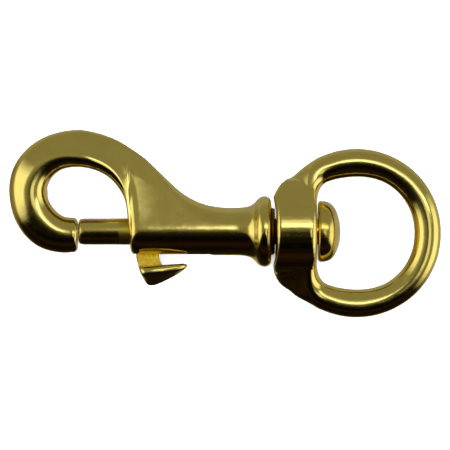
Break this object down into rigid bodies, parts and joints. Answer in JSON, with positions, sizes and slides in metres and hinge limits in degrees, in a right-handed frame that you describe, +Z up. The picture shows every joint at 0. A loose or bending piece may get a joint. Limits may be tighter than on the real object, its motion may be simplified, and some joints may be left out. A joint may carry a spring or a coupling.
{
  "type": "swivel snap hook",
  "caption": "Cast brass snap hook: a spring bolt with a thumb trigger closes the hook's throat, and a round eye swivels on a pin at the other end.",
  "frame": {"origin": "centre of the footprint, on the surface that the snap lies on", "axes": "+X along the barrel from the hook to the eye, +Y from the trigger's side to the hook's back, +Z up, across the hook's thickness"},
  "size_m": [0.0952, 0.0414, 0.018],
  "materials": {
    "polished_brass": "polished casting",
    "eye_brass": "polished casting",
    "bolt_brass": "turned and polished",
    "pin_brass": "polished",
    "cast_brass": "rough as cast, polished on the thumb pad",
    "spring_wire": "drawn wire"
  },
  "bodies": {
    "body": {"hook_body": "polished_brass", "swivel_pin": "pin_brass", "bolt_spring": "spring_wire"},
    "bolt": {"latch_bolt": "bolt_brass", "thumb_trigger": "cast_brass"},
    "eye": {"swivel_eye": "eye_brass"}
  },
  "joints": [
    {"name": "bolt_slide", "type": "slide", "parent": "body", "child": "bolt", "axis": [1, 0, 0], "range_m": [0, 0.0112], "stiffness_N_per_m": 450, "springref_m": -0.007, "deforming": ["bolt_spring"]},
    {"name": "eye_swivel", "type": "hinge", "parent": "body", "child": "eye", "pos_m": [0.0157, -0.00172, 0.009], "axis": [1, 0, 0], "continuous": true}
  ]
}
